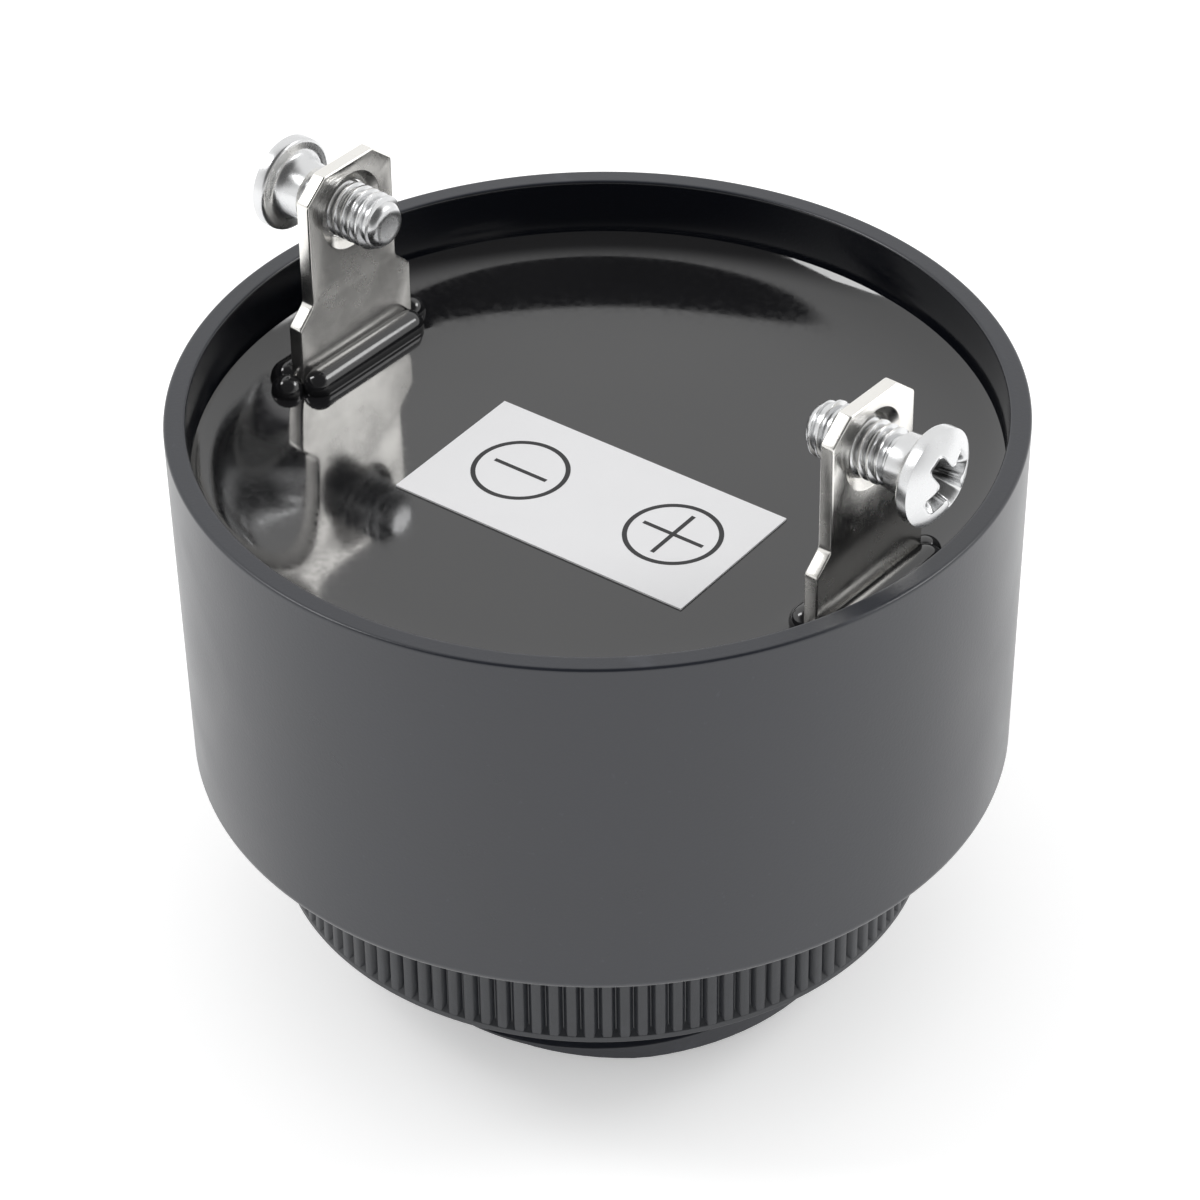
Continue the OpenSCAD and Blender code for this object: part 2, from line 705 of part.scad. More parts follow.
// Stamped terminal on the +X side, tapped for its screw and countersunk on both faces
module terminal() {
    difference() {
        translate([terminal_x, 0, 0]) rotate([90, 0, 90]) linear_extrude(terminal_t) polygon(terminal_outline());
        translate([terminal_x, 0, screw_z]) rotate([0, 90, 0]) rotate_extrude() polygon([
            [0, -overcut], [screw_hole_r + sink_w, -overcut], [screw_hole_r + sink_w, 0],
            [screw_hole_r, sink_depth], [screw_hole_r, terminal_t - sink_depth],
            [screw_hole_r + sink_w, terminal_t], [screw_hole_r + sink_w, terminal_t + overcut],
            [0, terminal_t + overcut]
        ]);
    }
}

module terminal_positive() {
    color("#b3aea6") terminal();
}

module terminal_negative() {
    color("#b3aea6") rotate([0, 0, 180]) terminal();
}

// Pan-head screw on the +X side, backed off from its terminal
module screw() {
    tip = 0.35;
    neck = 0.35;
    under_edge = 0.15;
    r = screw_d / 2;
    head_r = head_d / 2;
    side_z = screw_l + head_side_h;
    top_z = side_z + head_dome_h;
    dome_r = (head_r * head_r + head_dome_h * head_dome_h) / (2 * head_dome_h);
    dome_angle = asin(head_r / dome_r);
    dome = [for (i = [0:8]) let (a = dome_angle * (1 - i / 8)) [dome_r * sin(a), top_z - dome_r * (1 - cos(a))]];
    translate([terminal_x - screw_inside, 0, screw_z])
    rotate([0, 90, 0])
    difference() {
        rotate_extrude() polygon(concat(
            [[0, 0], [r - tip, 0], [r, tip], [r, screw_l - neck], [r + neck, screw_l]],
            [[head_r - under_edge, screw_l], [head_r, screw_l + under_edge]],
            dome
        ));
        for (turn = [0, 90])
            rotate([0, 0, turn + 30])
            translate([-recess_l, -recess_w / 2, top_z - recess_depth])
            cube([2 * recess_l, recess_w, recess_depth + overcut]);
        translate([0, 0, top_z - recess_depth - 0.2])
            cylinder(h = recess_depth + 0.2 + overcut, r1 = 0.35, r2 = 1.15);
    }
}

module screw_positive() {
    color("#c9cbd0") screw();
}

module screw_negative() {
    color("#c9cbd0") rotate([0, 0, 180]) screw();
}

housing();
ring_nut();
mounting_bead();
piezo_plate();
piezo_ceramic();
plate_lead();
ceramic_lead();
feedback_lead();
circuit_board();
solder_negative();
solder_positive();
choke_core();
choke_winding();
transistor();
capacitor();
drive_resistor();
bias_resistor();
feedback_resistor();
diode();
potting();
label();
terminal_negative();
terminal_positive();
screw_negative();
screw_positive();
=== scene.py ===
import math

import bmesh
import bpy
from mathutils import Matrix, Vector


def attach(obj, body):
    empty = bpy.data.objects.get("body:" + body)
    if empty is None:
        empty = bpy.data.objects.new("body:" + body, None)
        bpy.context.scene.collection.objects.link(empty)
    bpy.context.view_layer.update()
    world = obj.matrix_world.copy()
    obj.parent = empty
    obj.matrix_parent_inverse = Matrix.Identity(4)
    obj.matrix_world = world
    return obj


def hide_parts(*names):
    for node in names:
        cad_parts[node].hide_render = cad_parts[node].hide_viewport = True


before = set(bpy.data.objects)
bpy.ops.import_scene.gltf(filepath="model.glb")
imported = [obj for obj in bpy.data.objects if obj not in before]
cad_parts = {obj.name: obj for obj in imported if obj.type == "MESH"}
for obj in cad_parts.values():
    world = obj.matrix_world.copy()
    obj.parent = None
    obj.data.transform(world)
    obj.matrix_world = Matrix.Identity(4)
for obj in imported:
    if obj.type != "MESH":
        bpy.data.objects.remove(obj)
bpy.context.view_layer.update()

# Moulded case
# One black plastic moulding: case wall, shoulder, threaded nose and slotted sound grille.
# It is injection moulded, so every edge has a small radius and the wall a little draft.
# The raised rings of the grille hang on ten short bridges in the slotted groove.
MM = 0.001
CASE_SEGMENTS = 240
NOSE_ROOT_R = 12.45
TIP_TOP_Z = 0.95
SHOULDER_Z = 12.8
SHOULDER_R = 21.2
RIM_Z = 32.9
RIM_OUTER_R = 21.5
# The inner wall is polished inside this radius and above this height
POLISHED_R = 20.43
POLISHED_FROM_Z = 20.5
BRIDGES = 10
THREAD_PITCH = 2.9
THREAD_FROM_Z = 0.625
THREAD_START_TURN = math.radians(-89)
SOCKET_KINDS = {int: "NodeSocketInt", float: "NodeSocketFloat", type(None): "NodeSocketMaterial"}


def rounded_corners(corners, steps=4):
    """(x, y, radius) corners of a closed outline as a list of points, with each corner drawn as an arc."""
    points = []
    for i, (x, y, radius) in enumerate(corners):
        here = Vector((x, y))
        before = Vector(corners[i - 1][:2]) - here
        after = Vector(corners[(i + 1) % len(corners)][:2]) - here
        half = before.angle(after) / 2
        reach = min(radius / math.tan(half), 0.45 * before.length, 0.45 * after.length)
        radius = reach * math.tan(half)
        centre = here + (before.normalized() + after.normalized()).normalized() * (radius / math.sin(half))
        start = here + before.normalized() * reach - centre
        end = here + after.normalized() * reach - centre
        sweep = start.angle_signed(end)
        points += [centre + Matrix.Rotation(-sweep * k / steps, 2) @ start for k in range(steps + 1)]
    return points


def with_support(points, gap):
    """Adds a point close to both ends of each long stretch, so that flats stay flat when shaded smooth."""
    out = []
    for i, here in enumerate(points):
        out.append(here)
        there = points[(i + 1) % len(points)]
        along = there - here
        if along.length > 4 * gap:
            out.append(here + along.normalized() * gap)
            out.append(there - along.normalized() * gap)
    return out


def vertex(bm, x, y, z):
    """A new vertex at a place in millimetres."""
    return bm.verts.new((x * MM, y * MM, z * MM))


def skin(bm, rows):
    """Faces between each row of vertices and the next. Rows run round, and a lone vertex is a pole."""
    for low, high in zip(rows, rows[1:]):
        count = max(len(low), len(high))
        for k in range(count):
            j = (k + 1) % count
            corners = []
            for v in (low[k % len(low)], low[j % len(low)], high[j % len(high)], high[k % len(high)]):
                if v not in corners:
                    corners.append(v)
            if len(corners) > 2:
                bm.faces.new(corners)


def turned(outline, segments, closed=True):
    """A bmesh turned about Z from (radius, height) points in millimetres. Points on the axis become poles."""
    bm = bmesh.new()
    angles = [2 * math.pi * k / segments for k in range(segments)]
    rows = []
    for r, z in outline:
        if r < 1e-6:
            rows.append([vertex(bm, 0, 0, z)])
        else:
            rows.append([vertex(bm, r * math.cos(a), r * math.sin(a), z) for a in angles])
    if closed:
        rows.append(rows[0])
    skin(bm, rows)
    return bm


def plain_mesh(name, bm):
    """Turns a bmesh into a mesh whose faces look outwards, and frees it."""
    bmesh.ops.recalc_face_normals(bm, faces=bm.faces)
    mesh = bpy.data.meshes.new(name)
    bm.to_mesh(mesh)
    bm.free()
    return mesh


def bar(name, rows):
    """A closed bar as a mesh, from rows of places in millimetres along it."""
    bm = bmesh.new()
    loops = [[vertex(bm, *place) for place in row] for row in rows]
    skin(bm, loops)
    bm.faces.new(loops[0])
    bm.faces.new(loops[-1])
    return plain_mesh(name, bm)


def made_mesh(name, *parts, sharp_degrees=35):
    """One mesh from bmeshes and meshes, smooth shaded with its real edges kept sharp."""
    whole = bmesh.new()
    for part in parts:
        if isinstance(part, bmesh.types.BMesh):
            part = plain_mesh("part", part)
        whole.from_mesh(part)
        bpy.data.meshes.remove(part)
    mesh = bpy.data.meshes.new(name)
    whole.to_mesh(mesh)
    whole.free()
    mesh.shade_smooth()
    mesh.set_sharp_from_angle(angle=math.radians(sharp_degrees))
    return mesh


def placed(name, mesh, material, slot, *nodes):
    """The finished piece: it rides on the one body and stands for its CAD nodes."""
    piece = bpy.data.objects.new(name, mesh)
    bpy.context.scene.collection.objects.link(piece)
    mesh.materials.clear()
    mesh.materials.append(material)
    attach(piece, "root")
    if nodes:
        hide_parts(*nodes)


def feed(tree, value, socket):
    """Links a value that is a socket itself to the socket, and sets any other."""
    if isinstance(value, bpy.types.NodeSocket):
        tree.links.new(value, socket)
    else:
        socket.default_value = value


def tree_node(tree, kind, **settings):
    """Adds a node. Settings are its properties, or its inputs where it has no such property."""
    node = tree.nodes.new(kind)
    for name, value in settings.items():
        if hasattr(node, name):
            setattr(node, name, value)
        else:
            feed(tree, value, node.inputs[name.replace("_", " ")])
    return node


def maths(tree, operation, *values):
    """A math node whose inputs are numbers or sockets. Returns its output."""
    node = tree_node(tree, "ShaderNodeMath", operation=operation)
    for value, socket in zip(values, node.inputs):
        feed(tree, value, socket)
    return node.outputs[0]


def vector(tree, x=0.0, y=0.0, z=0.0):
    """A vector from three numbers or sockets."""
    return tree_node(tree, "ShaderNodeCombineXYZ", X=x, Y=y, Z=z).outputs[0]


def length(tree, x, y):
    """The length of a flat vector."""
    node = tree_node(tree, "ShaderNodeVectorMath", operation="LENGTH", Vector=vector(tree, x, y))
    return node.outputs["Value"]


def axes(tree, where):
    """The outputs X, Y and Z of a vector."""
    return tree_node(tree, "ShaderNodeSeparateXYZ", Vector=where).outputs


def named_inputs(tree, inputs):
    tree.interface.new_socket("Geometry", in_out="INPUT", socket_type="NodeSocketGeometry")
    for name, value in inputs.items():
        socket = tree.interface.new_socket(name, in_out="INPUT", socket_type=SOCKET_KINDS[type(value)])
        socket.default_value = value
    tree.interface.new_socket("Geometry", in_out="OUTPUT", socket_type="NodeSocketGeometry")
    return tree.nodes.new("NodeGroupInput").outputs


def tree_end(tree, geometry, material):
    """Ends the tree: instances are made real and take the material that the tree was given."""
    real = tree_node(tree, "GeometryNodeRealizeInstances", Geometry=geometry)
    coat = tree_node(tree, "GeometryNodeSetMaterial", Geometry=real.outputs[0], Material=material)
    tree.links.new(coat.outputs[0], tree.nodes.new("NodeGroupOutput").inputs[0])


def grown(tree, values, base=None):
    """Runs a tree over a base mesh, with its inputs set by name, and returns the result as a plain mesh."""
    worker = bpy.data.objects.new("worker", base or bpy.data.meshes.new("nothing"))
    bpy.context.scene.collection.objects.link(worker)
    modifier = worker.modifiers.new("grow", "NODES")
    modifier.node_group = tree
    for item in tree.interface.items_tree:
        if item.in_out == "INPUT" and item.name in values:
            modifier[item.identifier] = values[item.name]
    evaluated = worker.evaluated_get(bpy.context.evaluated_depsgraph_get())
    result = bpy.data.meshes.new_from_object(evaluated)
    base = worker.data
    bpy.data.objects.remove(worker)
    bpy.data.meshes.remove(base)
    return result


def copies_round_axis():
    """A tree that sets copies of its base mesh evenly round the Z axis, each a little different in size."""
    tree = bpy.data.node_groups.new("copies_round_axis", "GeometryNodeTree")
    ask = named_inputs(tree, {
        "Copies": 10, "First Turn": 0.0, "Unevenness": 0.0, "Seed": 5, "Material": None,
    })
    line = tree_node(tree, "GeometryNodeMeshLine", Count=ask["Copies"], Offset=(0, 0, 0))
    number = tree_node(tree, "GeometryNodeInputIndex").outputs[0]
    step = maths(tree, "DIVIDE", 2 * math.pi, ask["Copies"])
    turn = maths(tree, "MULTIPLY_ADD", number, step, ask["First Turn"])
    spread = tree_node(tree, "FunctionNodeRandomValue", data_type="FLOAT", Seed=ask["Seed"])
    feed(tree, maths(tree, "SUBTRACT", 1.0, ask["Unevenness"]), spread.inputs[2])
    feed(tree, 1.0, spread.inputs[3])
    size = spread.outputs[1]
    copy = tree_node(tree, "GeometryNodeInstanceOnPoints", Points=line.outputs[0], Instance=ask["Geometry"],
                     Rotation=vector(tree, z=turn), Scale=vector(tree, size, size, 1.0))
    tree_end(tree, copy.outputs[0], ask["Material"])
    return tree


def ridge_on_helix():
    """A tree that winds a ridge of trapezoid section up a right-hand helix, as on a thread."""
    tree = bpy.data.node_groups.new("ridge_on_helix", "GeometryNodeTree")
    ask = named_inputs(tree, {
        "Root Radius": 0.01, "Height": 0.001, "Base Width": 0.002, "Crest Width": 0.001, "Pitch": 0.003,
        "From": 0.0, "To": 0.01, "Lowest": -1.0, "Highest": 1.0, "First Turn": 0.0, "Steps per Turn": 96,
        "Fade Turns": 0.15, "Edge Radius": 0.0001, "Side": 1.0, "Material": None,
    })
    turns = maths(tree, "DIVIDE", maths(tree, "SUBTRACT", ask["To"], ask["From"]), ask["Pitch"])
    count = maths(tree, "CEIL", maths(tree, "MULTIPLY", turns, ask["Steps per Turn"]))
    line = tree_node(tree, "GeometryNodeMeshLine", Count=count, Offset=(0, 0, 0.0001))
    path = tree_node(tree, "GeometryNodeMeshToCurve", Mesh=line.outputs[0])
    number = tree_node(tree, "GeometryNodeInputIndex").outputs[0]
    share = maths(tree, "DIVIDE", number, maths(tree, "SUBTRACT", count, 1.0))
    along = maths(tree, "MULTIPLY", share, turns)
    turn = maths(tree, "MULTIPLY_ADD", along, 2 * math.pi, ask["First Turn"])
    place = vector(
        tree,
        maths(tree, "MULTIPLY", ask["Root Radius"], maths(tree, "COSINE", turn)),
        maths(tree, "MULTIPLY", ask["Root Radius"], maths(tree, "SINE", turn)),
        maths(tree, "MULTIPLY_ADD", along, ask["Pitch"], ask["From"]),
    )
    wind = tree_node(tree, "GeometryNodeSetPosition", Geometry=path.outputs[0], Position=place)
    upright = tree_node(tree, "GeometryNodeSetCurveNormal", mode="Z_UP", Curve=wind.outputs[0])
    rise = maths(tree, "DIVIDE", along, ask["Fade Turns"])
    fall = maths(tree, "DIVIDE", maths(tree, "SUBTRACT", turns, along), ask["Fade Turns"])
    fade = maths(tree, "MAXIMUM", 0.05, maths(tree, "MINIMUM", 1.0, maths(tree, "MINIMUM", rise, fall)))
    section = tree_node(tree, "GeometryNodeCurvePrimitiveQuadrilateral", mode="TRAPEZOID", Offset=0,
                        Bottom_Width=ask["Base Width"], Top_Width=ask["Crest Width"], Height=ask["Height"])
    softened = tree_node(tree, "GeometryNodeFilletCurve", mode="POLY", Curve=section.outputs[0], Count=3,
                         Radius=ask["Edge Radius"])
    tilt = maths(tree, "MULTIPLY", ask["Side"], -math.pi / 2)
    shift = maths(tree, "MULTIPLY", maths(tree, "MULTIPLY", ask["Height"], ask["Side"]), 0.5)
    stood = tree_node(tree, "GeometryNodeTransform", Geometry=softened.outputs[0],
                      Rotation=vector(tree, z=tilt), Translation=vector(tree, shift))
    sweep = tree_node(tree, "GeometryNodeCurveToMesh", Curve=upright.outputs[0],
                      Profile_Curve=stood.outputs[0], Scale=fade, Fill_Caps=True)
    at = axes(tree, tree_node(tree, "GeometryNodeInputPosition").outputs[0])
    level = maths(tree, "MAXIMUM", ask["Lowest"], maths(tree, "MINIMUM", ask["Highest"], at["Z"]))
    trim = tree_node(tree, "GeometryNodeSetPosition", Geometry=sweep.outputs[0],
                     Position=vector(tree, at["X"], at["Y"], level))
    tree_end(tree, trim.outputs[0], ask["Material"])
    return tree


def new_material(name):
    """A material with its tree, its shader and the place on the object, to be used as a texture vector."""
    material = bpy.data.materials.new(name)
    material.use_nodes = True
    tree = material.node_tree
    where = tree_node(tree, "ShaderNodeTexCoord").outputs["Object"]
    return material, tree, tree.nodes["Principled BSDF"], where


def noise(tree, where, scale, detail, **settings):
    """Cloudy noise between 0 and 1."""
    cloud = tree_node(tree, "ShaderNodeTexNoise", Vector=where, Scale=scale, Detail=detail, **settings)
    return cloud.outputs["Fac"]


def ramp(tree, value, start, end, low=0.0, high=1.0, kind="LINEAR"):
    """Runs from low to high as the value runs from start to end, and stays there beyond them."""
    return tree_node(tree, "ShaderNodeMapRange", interpolation_type=kind, Value=value, From_Min=start,
                     From_Max=end, To_Min=low, To_Max=high).outputs[0]


def mixed(tree, share, first, second):
    """A mix of two colours, each a value or a socket."""
    node = tree_node(tree, "ShaderNodeMix", data_type="RGBA")
    for value, socket in ((share, node.inputs[0]), (first, node.inputs[6]), (second, node.inputs[7])):
        feed(tree, value, socket)
    return node.outputs[2]


def tint(colour, factor, lift=0.0):
    """A colour made lighter or darker."""
    return (*[min(1.0, c * factor + lift) for c in colour], 1)


def finish(tree, shader, colour, roughness, relief, depth_mm):
    """Joins colour, roughness and a fine relief to the shader."""
    bump = tree_node(tree, "ShaderNodeBump", Strength=1.0, Distance=depth_mm * MM, Height=relief)
    tree.links.new(colour, shader.inputs["Base Color"])
    tree.links.new(roughness, shader.inputs["Roughness"])
    tree.links.new(bump.outputs[0], shader.inputs["Normal"])


def moulded_plastic(name, colour, roughness, grain_mm, grain_depth, polished_r=None):
    """Black moulded plastic: grain of a spark-eroded mould, faint flow marks, edges rubbed a little lighter.
    Inside the polished radius, from POLISHED_FROM_Z up, the wall is darker and glossy."""
    material, tree, shader, where = new_material(name)
    shader.inputs["IOR"].default_value = 1.5
    shader.inputs["Specular IOR Level"].default_value = 0.75
    grain = noise(tree, where, 1 / (grain_mm * MM), 3.0, Roughness=0.6)
    flow = noise(tree, where, 180.0, 2.0, Distortion=0.4)
    pointed = tree_node(tree, "ShaderNodeNewGeometry").outputs["Pointiness"]
    edge = ramp(tree, pointed, 0.52, 0.66, kind="SMOOTHSTEP")
    patchy = ramp(tree, noise(tree, where, 900.0, 4.0), 0.42, 0.62)
    dust = ramp(tree, noise(tree, where, 2300.0, 2.0), 0.7, 0.78, 0.0, 0.22)
    wear = maths(tree, "MULTIPLY_ADD", maths(tree, "MULTIPLY", edge, patchy), 0.25, dust)
    shade = mixed(tree, flow, tint(colour, 0.86), tint(colour, 1.14))
    shade = mixed(tree, wear, shade, tint(colour, 2.6, 0.03))
    gloss = ramp(tree, flow, 0.0, 1.0, roughness - 0.05, roughness + 0.07)
    if polished_r:
        at = axes(tree, where)
        radius = length(tree, at["X"], at["Y"])
        outside = ramp(tree, radius, (polished_r - 0.03) * MM, (polished_r + 0.03) * MM)
        below = ramp(tree, at["Z"], POLISHED_FROM_Z * MM, (POLISHED_FROM_Z - 0.5) * MM)
        grained = maths(tree, "MAXIMUM", outside, below)
        shade = mixed(tree, grained, tint(colour, 0.35), shade)
        sheen = tree_node(tree, "ShaderNodeMix", data_type="FLOAT")
        for value, socket in ((grained, sheen.inputs[0]), (0.12, sheen.inputs[2]), (gloss, sheen.inputs[3])):
            feed(tree, value, socket)
        gloss = sheen.outputs[0]
    finish(tree, shader, shade, gloss, grain, grain_depth)
    return material


case_plastic = moulded_plastic("case_plastic", (0.0085, 0.0105, 0.0175), 0.29, 0.17, 0.0075, POLISHED_R)
case_outline = rounded_corners([
    (10.47, 1.27, 0.05), (10.98, 0.0, 0.14), (12.0, 0.0, 0.15), (12.0, 0.85, 0.08), (NOSE_ROOT_R, 0.85, 0.1),
    (NOSE_ROOT_R, SHOULDER_Z, 0.2), (SHOULDER_R, SHOULDER_Z, 0.45), (RIM_OUTER_R, RIM_Z, 0.16),
    (20.4, RIM_Z, 0.16), (20.267, 24.0, 0.1), (19.267, 24.0, 0.1), (19.133, 15.0, 0.3), (12.6, 15.0, 0.15),
    (12.6, 17.0, 0.12), (11.2, 17.0, 0.12), (11.2, 15.0, 0.15), (10.6, 15.0, 0.2), (10.6, 2.6, 0.05),
    (10.47, 2.6, 0.02),
])
case_body = turned(with_support(case_outline, 0.06), CASE_SEGMENTS)
ring_outline = rounded_corners([
    (1.5, 2.6, 0.15), (1.5, 0.8, 0.15),
    (3.33, 0.8, 0.12), (3.33, 0.0, 0.13), (4.35, 0.0, 0.13), (4.35, 1.25, 0.12),
    (5.78, 1.25, 0.12), (5.78, 0.0, 0.13), (6.8, 0.0, 0.13), (6.8, 1.25, 0.12),
    (8.23, 1.25, 0.12), (8.23, 0.0, 0.13), (9.25, 0.0, 0.13), (9.28, 2.6, 0.1),
])
grille_disc = turned(with_support(ring_outline, 0.05), CASE_SEGMENTS // 2)

# One bridge of the slotted groove, a short bar across the groove on the +X side, copied round the axis
bridge_section = rounded_corners([
    (-0.725, 1.28, 0.12), (0.725, 1.28, 0.12), (0.725, 2.58, 0.05), (-0.725, 2.58, 0.05)
], steps=3)
bridge = bar("bridge", [[(x, y, z) for y, z in bridge_section] for x in (9.1, 9.5, 9.9, 10.3, 10.65)])
round_axis = copies_round_axis()
grille_bridges = grown(round_axis, {
    "Copies": BRIDGES, "First Turn": math.radians(6), "Material": case_plastic
}, bridge)
helix = ridge_on_helix()
nose_thread = grown(helix, {
    "Root Radius": 12.41 * MM, "Height": 1.04 * MM, "Base Width": 2.84 * MM, "Crest Width": 1.55 * MM,
    "Pitch": THREAD_PITCH * MM, "From": THREAD_FROM_Z * MM, "To": 11.28 * MM, "Lowest": TIP_TOP_Z * MM,
    "First Turn": THREAD_START_TURN, "Fade Turns": 0.13, "Edge Radius": 0.16 * MM, "Material": case_plastic
})
case_mesh = made_mesh("case_moulding", case_body, grille_disc, grille_bridges, nose_thread)
placed("case_moulding", case_mesh, case_plastic, "case_plastic", "housing")

# Ring nut
# Black plastic nut, knurled by hand grip ribs all round, with a plain collar that presses on the panel.
# It is a second moulding, with a coarser grain than the case, and runs on the thread of the nose.
# The ribs end on a plain ring at the nose side.
KNURL_RIBS = 120
NUT_Z = 4.7
nut_plastic = moulded_plastic("nut_plastic", (0.014, 0.016, 0.021), 0.44, 0.2, 0.014)
nut_outline = rounded_corners([
    (13.57, NUT_Z, 0.1), (15.95, NUT_Z, 0.18), (17.15, 5.65, 0.1), (17.15, 5.95, 0.08), (16.83, 6.3, 0.2),
    (16.83, 11.75, 0.05), (17.35, 11.75, 0.12), (17.35, SHOULDER_Z, 0.12), (13.57, SHOULDER_Z, 0.1),
])
nut_body = turned(with_support(nut_outline, 0.05), CASE_SEGMENTS)
half_section = [(16.7, 0.43), (16.83, 0.42), (16.9, 0.375), (17.07, 0.265), (17.12, 0.23), (17.145, 0.18)]
rib_section = [(r, -y) for r, y in half_section] + half_section[::-1]
rib = bar("rib", [[(x, y, z) for x, y in rib_section] for z in (5.8, 8.8, 11.8)])
knurl_ribs = grown(round_axis, {
    "Copies": KNURL_RIBS, "First Turn": math.pi / KNURL_RIBS, "Unevenness": 0.0012, "Seed": 3,
    "Material": nut_plastic
}, rib)
nut_thread = grown(helix, {
    "Root Radius": 13.62 * MM, "Height": 0.77 * MM, "Base Width": 0.9 * MM, "Crest Width": 0.14 * MM,
    "Side": -1.0, "Pitch": THREAD_PITCH * MM, "From": (THREAD_FROM_Z + THREAD_PITCH / 2) * MM,
    "To": 13.6 * MM, "Lowest": (NUT_Z + 0.08) * MM, "Highest": (SHOULDER_Z - 0.1) * MM,
    "First Turn": THREAD_START_TURN, "Fade Turns": 0.01, "Edge Radius": 0.02 * MM, "Material": nut_plastic
})
nut_mesh = made_mesh("ring_nut_knurled", nut_body, knurl_ribs, nut_thread)
placed("ring_nut_knurled", nut_mesh, nut_plastic, "nut_plastic", "ring_nut")

# Sounder disc
# A brass plate with a silvered ceramic on it, held on its rib by a bead of silicone, with three wires.
# It is closed in by the board and the resin, so its solids stay as they are and take their real finish.
SCREW_Z = 37.65
# The screw recess, where shade is painted: its mouth and floor as distances from the middle plane, and its
# radius
RECESS_MOUTH_X = 21.15
RECESS_FLOOR_X = 19.5
RECESS_R = 1.25


def cad_finish(material, *nodes):
    """Gives CAD nodes whose shape is right a better material."""
    for name in nodes:
        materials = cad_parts[name].data.materials
        materials.clear()
        materials.append(material)


def metal(name, colour, roughness, streak, scratch_mm=0.05, stretch=(1, 1, 14), stain=0.12, painted_shade=0.0):
    """Plated or rolled metal: fine lines along the rolling direction, cloudy stains, painted shade in its
    hollows and screw recess.
    """
    material, tree, shader, where = new_material(name)
    shader.inputs["Metallic"].default_value = 1.0
    drawn = tree_node(tree, "ShaderNodeMapping", Vector=where, Scale=[1 / factor for factor in stretch])
    lines = noise(tree, drawn.outputs[0], 1 / (scratch_mm * MM), 3.0)
    cloud = noise(tree, where, 420.0, 4.0, Roughness=0.65)
    shade = mixed(tree, cloud, tint(colour, 1 - stain), tint(colour, 1 + stain / 2))
    if painted_shade:
        # Painted shade: hollows such as the grooves between thread turns are darkened
        pointed = tree_node(tree, "ShaderNodeNewGeometry").outputs["Pointiness"]
        hollow = ramp(tree, pointed, 0.485, 0.4, 0.0, painted_shade, "SMOOTHSTEP")
        shade = mixed(tree, hollow, shade, tint(colour, 0.12))
        # Painted shade deep inside the cross recess of the screw head, where shadow falls
        at = axes(tree, where)
        depth = maths(tree, "ABSOLUTE", at["X"])
        from_axis = length(tree, at["Y"], maths(tree, "SUBTRACT", at["Z"], SCREW_Z * MM))
        under_mouth = ramp(tree, depth, RECESS_MOUTH_X * MM, (RECESS_MOUTH_X - 0.4) * MM)
        over_floor = ramp(tree, depth, RECESS_FLOOR_X * MM, (RECESS_FLOOR_X + 0.3) * MM)
        near_axis = ramp(tree, from_axis, RECESS_R * MM, (RECESS_R - 0.45) * MM)
        recess = maths(tree, "MULTIPLY", maths(tree, "MULTIPLY", under_mouth, over_floor), near_axis)
        shade = mixed(tree, recess, shade, tint(colour, 0.1))
    gloss = ramp(tree, cloud, 0.3, 0.7, max(0.03, roughness - 0.07), roughness + 0.1)
    finish(tree, shader, shade, gloss, lines, streak)
    return material


def coated(name, colour, roughness, spread=0.12, grain_mm=0.2, grain_depth=0.004):
    """A painted, glazed or rubbery coat: a little uneven in colour and gloss, with a soft grain."""
    material, tree, shader, where = new_material(name)
    grain = noise(tree, where, 1 / (grain_mm * MM), 3.0)
    cloud = noise(tree, where, 350.0, 3.0)
    shade = mixed(tree, cloud, tint(colour, 1 - spread), tint(colour, 1 + spread))
    gloss = ramp(tree, grain, 0.0, 1.0, roughness * 0.8, roughness * 1.2)
    finish(tree, shader, shade, gloss, grain, grain_depth)
    return material


cad_finish(coated("silicone", (0.68, 0.68, 0.62), 0.4), "mounting_bead")
cad_finish(metal("brass", (0.72, 0.52, 0.22), 0.28, 0.0015, stretch=(1, 14, 1)), "piezo_plate")
cad_finish(metal("silvered_ceramic", (0.78, 0.77, 0.72), 0.45, 0.002, stretch=(1, 1, 1)), "piezo_ceramic")
cad_finish(coated("lead_wire", (0.42, 0.045, 0.04), 0.45), "plate_lead", "ceramic_lead", "feedback_lead")

# Circuit board and its parts
# The board closes the case under the resin. A choke, a transistor, a capacitor, three resistors and a diode
# hang below it and drive the disc. All of them are sealed in, and keep their solids.
solder = metal("solder", (0.62, 0.62, 0.63), 0.32, 0.003, stretch=(1, 1, 1))
resistor_coat = coated("resistor_coat", (0.55, 0.42, 0.24), 0.4)
cad_finish(coated("board", (0.035, 0.14, 0.06), 0.35, grain_mm=0.4), "circuit_board")
cad_finish(solder, "solder_negative", "solder_positive")
cad_finish(coated("ferrite", (0.045, 0.045, 0.048), 0.6, grain_depth=0.008), "choke_core")
cad_finish(metal("copper", (0.72, 0.33, 0.16), 0.3, 0.01, 0.12, (8, 8, 1)), "choke_winding")
cad_finish(coated("component_black", (0.02, 0.02, 0.022), 0.45), "transistor", "diode")
cad_finish(coated("capacitor_sleeve", (0.03, 0.05, 0.13), 0.3), "capacitor")
cad_finish(resistor_coat, "drive_resistor", "bias_resistor", "feedback_resistor")

# Potting
# Black resin poured over the board. It set glossy and flat, climbs the case wall all round and stands up
# in a round bead on both faces of each terminal, with a drop at each of its ends.
POT_Z = 28.5
POT_BOTTOM_Z = 25.6
POT_CLEAR_R = 1.1
TERMINAL_MID_X = 16.597
WALL_CLIMB = 1.3
CAPILLARY_LENGTH = 1.9
CLIMB_STEP = 0.02
FLAT_BELOW = 0.004
BEAD_AXIS_Z = 28.9
BEAD_SEGMENTS = 48
